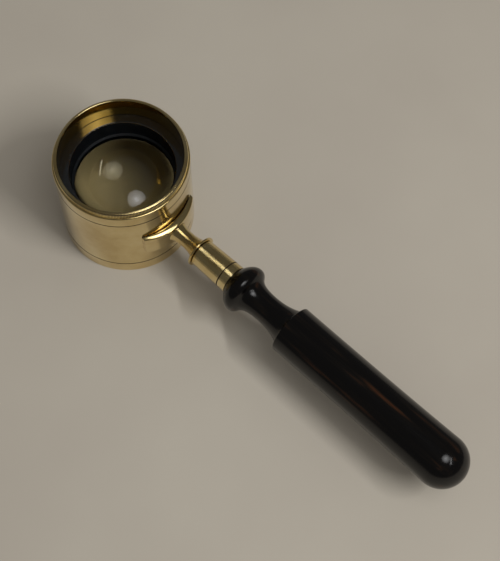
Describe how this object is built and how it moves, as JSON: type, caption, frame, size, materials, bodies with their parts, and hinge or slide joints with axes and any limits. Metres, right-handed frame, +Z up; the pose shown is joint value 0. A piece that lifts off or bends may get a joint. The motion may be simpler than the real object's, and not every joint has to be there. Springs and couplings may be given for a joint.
{
  "type": "coddington magnifier",
  "caption": "Hand magnifier: a thick waisted glass in a lacquered cell inside a short brass drum with a milled screw ring, on a turned brass stem and an ebony handle.",
  "frame": {"origin": "on the table, under the middle of the whole object", "axes": "+X along the handle, from the drum to the handle's round end; +Z up along the drum's and the glass's axis"},
  "size_m": [0.1924, 0.0508, 0.0442],
  "materials": {
    "polished_brass": "polished, lightly lacquered",
    "black_lacquer": "satin black",
    "optical_glass": "polished",
    "ebony": "oiled and waxed"
  },
  "bodies": {
    "drum": {"barrel": "polished_brass", "base_ring": "polished_brass", "saddle": "polished_brass", "stem": "polished_brass"},
    "optic": {"lens_cell": "black_lacquer", "lens": "optical_glass", "retaining_ring": "black_lacquer"},
    "screw_ring": {"milled_ring": "polished_brass"},
    "tang": {"handle_tang": "polished_brass"},
    "handle": {"ferrule": "polished_brass", "handle_grip": "ebony"}
  },
  "joints": [
    {"name": "optic_lift", "type": "slide", "parent": "drum", "child": "optic", "axis": [0, 0, 1], "range_m": [0, 0.004]},
    {"name": "ring_turn", "type": "hinge", "parent": "optic", "child": "screw_ring", "pos_m": [-0.07085, 0, 0.042], "axis": [0, 0, 1], "range_deg": [0, 1800]},
    {"name": "tang_slide", "type": "slide", "parent": "drum", "child": "tang", "axis": [1, 0, 0], "range_m": [0, 0.006]},
    {"name": "handle_turn", "type": "hinge", "parent": "tang", "child": "handle", "pos_m": [-0.03035, 0, 0.021], "axis": [1, 0, 0], "range_deg": [0, 2160]}
  ],
  "couplings": [
    {"joint": "ring_turn", "follows": "optic_lift", "rad_per_m": 7854},
    {"joint": "handle_turn", "follows": "tang_slide", "rad_per_m": 6283.2}
  ]
}
